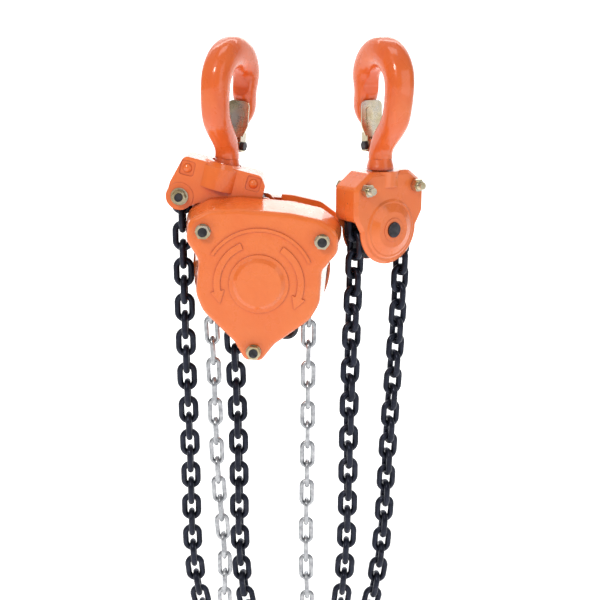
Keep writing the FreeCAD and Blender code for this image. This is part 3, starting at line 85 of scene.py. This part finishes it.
def make_floor():
    """Pale floor that sweeps up into a backdrop far behind."""
    level = cad_low.z - FLOOR_DROP
    profile = [(-6.0, level), (3.0, level)]
    bend = 2.0
    for step in range(1, 13):
        angle = math.radians(90 * step / 12)
        profile.append((3.0 + bend * math.sin(angle), level + bend * (1 - math.cos(angle))))
    profile.append((3.0 + bend, level + 9.0))
    vertices = [(x, y, z) for y, z in profile for x in (-9.0, 9.0)]
    faces = [(2 * i, 2 * i + 1, 2 * i + 3, 2 * i + 2) for i in range(len(profile) - 1)]
    floor = new_mesh("studio_floor", vertices, faces)
    shader = Shader("studio_white")
    shader.set("Base Color", (0.93, 0.93, 0.93, 1))
    shader.set("Roughness", 0.9)
    shader.set("Emission Color", (1, 1, 1, 1))
    shader.set("Emission Strength", 0.5)
    floor.data.materials.append(shader.material)


def area_light(name, place, aim, size, power, colour=(1, 1, 1)):
    data = bpy.data.lights.new(name, "AREA")
    data.shape = "RECTANGLE"
    data.size, data.size_y = size
    data.energy = power
    data.color = colour
    lamp = bpy.data.objects.new(name, data)
    lamp.location = place
    lamp.rotation_euler = (Vector(aim) - Vector(place)).to_track_quat("-Z", "Y").to_euler()
    bpy.context.scene.collection.objects.link(lamp)


def make_lights():
    """Soft, nearly even light; the surroundings darken downwards so that bright metal has something
    to mirror."""
    world = bpy.data.worlds.new("studio")
    world.use_nodes = True
    tree = world.node_tree
    place = tree.nodes.new("ShaderNodeTexCoord")
    split = tree.nodes.new("ShaderNodeSeparateXYZ")
    ramp = tree.nodes.new("ShaderNodeValToRGB")
    ramp.color_ramp.elements[0].position = 0.36
    ramp.color_ramp.elements[0].color = (0.10, 0.11, 0.13, 1)
    ramp.color_ramp.elements[1].position = 0.66
    ramp.color_ramp.elements[1].color = (1.0, 1.0, 1.0, 1)
    shift = tree.nodes.new("ShaderNodeMath")
    shift.operation = "MULTIPLY_ADD"
    shift.inputs[1].default_value = 0.5
    shift.inputs[2].default_value = 0.5
    tree.links.new(place.outputs["Generated"], split.inputs["Vector"])
    tree.links.new(split.outputs["Z"], shift.inputs[0])
    tree.links.new(shift.outputs["Value"], ramp.inputs["Fac"])
    tree.links.new(ramp.outputs["Color"], tree.nodes["Background"].inputs["Color"])
    tree.nodes["Background"].inputs["Strength"].default_value = WORLD_STRENGTH
    bpy.context.scene.world = world
    middle = (0.07, 0.0, -0.2)
    area_light("key", (-0.9, -1.5, 1.1), middle, (0.45, 0.45), 17, (1.0, 0.98, 0.95))
    area_light("fill", (1.5, -1.2, 0.2), middle, (1.0, 1.4), 4.5, (0.95, 0.97, 1.0))
    area_light("top", (0.1, -0.2, 1.6), middle, (1.2, 0.6), 5)
    area_light("rim", (0.5, 1.6, 0.7), middle, (1.2, 0.8), 4)
    area_light("backdrop", (0.0, 1.6, 2.2), (0.0, 4.0, -0.3), (4.0, 2.0), 90)
    settings = bpy.context.scene.view_settings
    settings.view_transform = "Standard"
    settings.look = "None"


# ------------------------------------------------------------------ shader building
class Shader:
    """A principled material and short ways of adding nodes to it."""

    def __init__(self, name):
        self.material = bpy.data.materials.new(name)
        self.material.use_nodes = True
        self.tree = self.material.node_tree
        self.principled = self.tree.nodes["Principled BSDF"]
        self.place = self.tree.nodes.new("ShaderNodeTexCoord").outputs["Object"]

    def set(self, socket, value):
        self.principled.inputs[socket].default_value = value

    def link(self, output, socket):
        target = self.principled.inputs[socket] if isinstance(socket, str) else socket
        self.tree.links.new(output, target)

    def noise(self, scale, detail=3.0, rough=0.55, stretch=(1, 1, 1)):
        source = self.place
        if stretch != (1, 1, 1):
            mapping = self.tree.nodes.new("ShaderNodeMapping")
            mapping.inputs["Scale"].default_value = stretch
            self.link(source, mapping.inputs["Vector"])
            source = mapping.outputs["Vector"]
        node = self.tree.nodes.new("ShaderNodeTexNoise")
        node.inputs["Scale"].default_value = scale
        node.inputs["Detail"].default_value = detail
        node.inputs["Roughness"].default_value = rough
        self.link(source, node.inputs["Vector"])
        return node.outputs["Fac"]

    def cells(self, scale, output="Distance"):
        node = self.tree.nodes.new("ShaderNodeTexVoronoi")
        node.inputs["Scale"].default_value = scale
        self.link(self.place, node.inputs["Vector"])
        return node.outputs[output]

    def ramp(self, factor, stops):
        node = self.tree.nodes.new("ShaderNodeValToRGB")
        elements = node.color_ramp.elements
        while len(elements) < len(stops):
            elements.new(0.5)
        for element, (position, colour) in zip(elements, stops):
            element.position = position
            element.color = colour if len(colour) == 4 else (*colour, 1)
        self.link(factor, node.inputs["Fac"])
        return node.outputs["Color"]

    def mix(self, factor, first, second):
        node = self.tree.nodes.new("ShaderNodeMix")
        node.data_type = "RGBA"
        sockets = [s for s in node.inputs if s.enabled]
        for value, socket in zip((factor, first, second), sockets):
            if isinstance(value, (int, float, tuple)):
                socket.default_value = value if not isinstance(value, tuple) else (*value[:3], 1)
            else:
                self.link(value, socket)
        return [s for s in node.outputs if s.enabled][0]

    def span(self, factor, low, high, start=0.0, end=1.0):
        node = self.tree.nodes.new("ShaderNodeMapRange")
        node.inputs["From Min"].default_value = start
        node.inputs["From Max"].default_value = end
        node.inputs["To Min"].default_value = low
        node.inputs["To Max"].default_value = high
        self.link(factor, node.inputs["Value"])
        return node.outputs["Result"]

    def edges(self):
        """Bright on convex edges, dark in hollows."""
        return self.tree.nodes.new("ShaderNodeNewGeometry").outputs["Pointiness"]

    def bump(self, layers, normal=None):
        """Layers are (height output, distance in metres), laid over `normal`."""
        for height, distance in layers:
            node = self.tree.nodes.new("ShaderNodeBump")
            node.inputs["Strength"].default_value = 1.0
            node.inputs["Distance"].default_value = distance
            self.link(height, node.inputs["Height"])
            if normal is not None:
                self.link(normal, node.inputs["Normal"])
            normal = node.outputs["Normal"]
        self.link(normal, "Normal")


ORANGE = (0.93, 0.190, 0.035)
# painted shade: the colour the enamel is darkened to in corners and hollows
ORANGE_PAINTED_SHADE = (0.62, 0.080, 0.015)
ORANGE_PALE = (0.98, 0.26, 0.060)


def enamel(name, peel, lumps, light=ORANGE, shade_colour=ORANGE_PAINTED_SHADE):
    """Thick glossy orange paint: `lumps` is the cast surface below it, `peel` its own texture; the paint is
    darkened towards the last colour given in corners and hollows as painted shade.
    """
    shader = Shader(name)
    cloud = shader.noise(22, 4)
    body = shader.mix(shader.span(cloud, 0.0, 0.45, 0.35, 0.75), light, ORANGE_PALE)
    # painted shade: ambient occlusion darkens the paint towards the shade colour in corners and hollows,
    # where shade falls
    corner = shader.tree.nodes.new("ShaderNodeAmbientOcclusion")
    corner.samples = 8
    corner.inputs["Distance"].default_value = 0.012
    body = shader.mix(shader.span(corner.outputs["AO"], 0.85, 0.0, 0.35, 0.95), body, shade_colour)
    chips = shader.span(shader.noise(260, 2), 0.0, 1.0, 0.70, 0.74)
    rubbed = shader.span(shader.edges(), 0.0, 1.0, 0.56, 0.66)
    worn = shader.tree.nodes.new("ShaderNodeMath")
    worn.operation = "MULTIPLY"
    shader.link(chips, worn.inputs[0])
    shader.link(rubbed, worn.inputs[1])
    shader.link(shader.mix(worn.outputs[0], body, (0.16, 0.05, 0.03)), "Base Color")
    shader.link(shader.span(shader.noise(60, 3), 0.22, 0.40, 0.3, 0.7), "Roughness")
    shader.set("Coat Weight", 0.75)
    shader.set("Coat Roughness", 0.05)
    shader.set("Specular IOR Level", 0.35)
    rounded = shader.tree.nodes.new("ShaderNodeBevel")
    rounded.samples = 6
    rounded.inputs["Radius"].default_value = 0.0011
    shader.bump([(shader.noise(45, 3), lumps), (shader.noise(330, 2), peel)], rounded.outputs["Normal"])
    return shader.material


def chain_black():
    shader = Shader("black_chain_steel")
    tone = shader.noise(90, 4)
    colour = shader.ramp(tone, [(0.3, (0.010, 0.012, 0.022)), (0.55, (0.022, 0.026, 0.045)),
                                (0.8, (0.050, 0.052, 0.065))])
    rub = shader.span(shader.edges(), 0.0, 0.5, 0.54, 0.64)
    shader.link(shader.mix(rub, colour, (0.16, 0.16, 0.18)), "Base Color")
    shader.set("Metallic", 0.65)
    shader.link(shader.span(shader.noise(200, 3), 0.24, 0.46, 0.3, 0.7), "Roughness")
    shader.bump([(shader.noise(420, 3), 0.00025)])
    return shader.material


def plated(name, stops, rough=(0.2, 0.4), grain=160, metallic=1.0):
    """Plated or bare metal whose tint wanders between the stops."""
    shader = Shader(name)
    shader.link(shader.ramp(shader.noise(grain, 4), stops), "Base Color")
    shader.set("Metallic", metallic)
    shader.link(shader.span(shader.noise(grain * 2.3, 3), rough[0], rough[1], 0.3, 0.7), "Roughness")
    shader.bump([(shader.noise(grain * 4, 2), 0.00012)])
    return shader.material


def turned(name, stops):
    """Machined steel with fine marks round the hoist's axles."""
    shader = Shader(name)
    shader.link(shader.ramp(shader.noise(900, 2, stretch=(1, 0.03, 1)), stops), "Base Color")
    shader.set("Metallic", 1.0)
    shader.link(shader.span(shader.noise(300, 3), 0.25, 0.42, 0.3, 0.7), "Roughness")
    shader.bump([(shader.noise(1200, 2, stretch=(0.05, 1, 0.05)), 0.00006)])
    return shader.material


def cast_iron():
    shader = Shader("cast_iron_dark")
    shader.link(shader.ramp(shader.noise(70, 5), [(0.3, (0.05, 0.05, 0.055)), (0.7, (0.13, 0.13, 0.14))]),
                "Base Color")
    shader.set("Metallic", 0.55)
    shader.link(shader.span(shader.noise(150, 3), 0.42, 0.65, 0.3, 0.7), "Roughness")
    shader.bump([(shader.noise(240, 4), 0.0004)])
    return shader.material


def lining():
    shader = Shader("friction_lining")
    shader.link(shader.ramp(shader.cells(900), [(0.1, (0.30, 0.20, 0.12)), (0.5, (0.11, 0.07, 0.045))]),
                "Base Color")
    shader.set("Roughness", 0.85)
    shader.bump([(shader.noise(700, 3), 0.0002)])
    return shader.material


def make_finishes():
    return {
        # each enamel's last colour is painted shade for its corners and hollows
        "orange_enamel": enamel("orange_enamel", 0.00012, 0.0008),
        "hook_enamel": enamel("hook_enamel", 0.00012, 0.0016, (0.84, 0.140, 0.026), (0.50, 0.060, 0.012)),
        "black_plate": plated("black_satin_plate", [(0.3, (0.012, 0.012, 0.014)), (0.7, (0.03, 0.03, 0.034))],
                              (0.35, 0.55), 120, 0.2),
        "zinc_yellow": plated("zinc_yellow", [(0.34, (0.50, 0.40, 0.22)), (0.50, (0.68, 0.60, 0.42)),
                                              (0.66, (0.60, 0.56, 0.50))], (0.20, 0.34), 38),
        "dark_steel": plated("dark_steel", [(0.3, (0.03, 0.03, 0.035)), (0.7, (0.09, 0.09, 0.10))],
                             (0.3, 0.5), 140, 0.8),
        "black_chain": chain_black(),
        "zinc_chain": plated("galvanised_chain", [(0.30, (0.30, 0.31, 0.33)), (0.55, (0.50, 0.51, 0.53)),
                                                  (0.75, (0.66, 0.67, 0.68))], (0.24, 0.46), 170),
        "machined_steel": turned("machined_steel", [(0.3, (0.42, 0.42, 0.44)), (0.7, (0.62, 0.62, 0.63))]),
        "cast_iron": cast_iron(),
        "friction_lining": lining(),
    }


def dress_nodes(finishes):
    """Every CAD piece takes the finish of the record's slot for it."""
    slots = {part["node"]: part["material_slot"] for part in frame["record"]["subparts"]}
    for name, thing in NODES.items():
        thing.data.materials.clear()
        thing.data.materials.append(finishes[slots[name]])


# ------------------------------------------------------------------ small parts that only show
YOKE_ORIGIN, YOKE_TILT = (-0.010, 0.0, -0.077), 15.0
BLOCK_ORIGIN, BLOCK_YAW = (0.163, 0.0, 0.0), 36.0
BLOCK_BOLTS = ((-0.0355, -0.106), (0.0355, -0.106))
ANCHOR = (-0.0357, -0.0484)
BOLT_RADIUS = 0.004          # of the chain anchor and of the block's bolts
THREAD_DEPTH = 0.00045
THREAD_SUNK = 0.00008        # the ridge's foot lies this far inside the bolt
THREAD_STEPS = 20            # vertices round one turn


def frame_of(origin, tilt=0.0, yaw=0.0):
    return (Matrix.Translation(origin) @ Matrix.Rotation(math.radians(tilt), 4, "Y")
            @ Matrix.Rotation(math.radians(yaw), 4, "Z"))


def thread(name, place, x, z, start, end, pitch, body, slot_name):
    """Helical ridge round a bolt along Y, from y `start` to y `end` in the frame `place`."""
    turns = abs(end - start) / pitch
    steps = max(8, int(turns * THREAD_STEPS))
    vertices, faces = [], []
    for step in range(steps + 1):
        share = step / steps
        angle = 2 * math.pi * turns * share
        y = start + (end - start) * share
        fade = min(1.0, share * 8, (1 - share) * 8)
        for rise, shift in ((-THREAD_SUNK, -0.42), (THREAD_DEPTH * fade, 0.0), (-THREAD_SUNK, 0.42)):
            reach = BOLT_RADIUS + rise
            vertices.append(place @ Vector((x + reach * math.cos(angle), y + shift * pitch,
                                            z + reach * math.sin(angle))))
    for step in range(steps):
        for side in range(2):
            a = 3 * step + side
            faces.append((a, a + 1, a + 4, a + 3))
    piece = new_mesh(name, vertices, faces, smooth=False)
    finish_piece(piece, body, slot_name)


def finish_piece(piece, body, slot_name):
    piece.data.materials.append(FINISHES[slot_name])
    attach(piece, body)


def make_threads():
    yoke = frame_of(YOKE_ORIGIN, YOKE_TILT)
    thread("anchor_thread", yoke, *ANCHOR, -0.0322, -0.0342, 0.001, "yoke", "dark_steel")
    block = frame_of(BLOCK_ORIGIN, 0.0, BLOCK_YAW)
    for index, (x, z) in enumerate(BLOCK_BOLTS):
        thread("block_thread_%d" % index, block, x, z, -0.0259, -0.0321, 0.00125, "block", "zinc_yellow")


make_camera()
make_floor()
make_lights()
FINISHES = make_finishes()
dress_nodes(FINISHES)
make_threads()
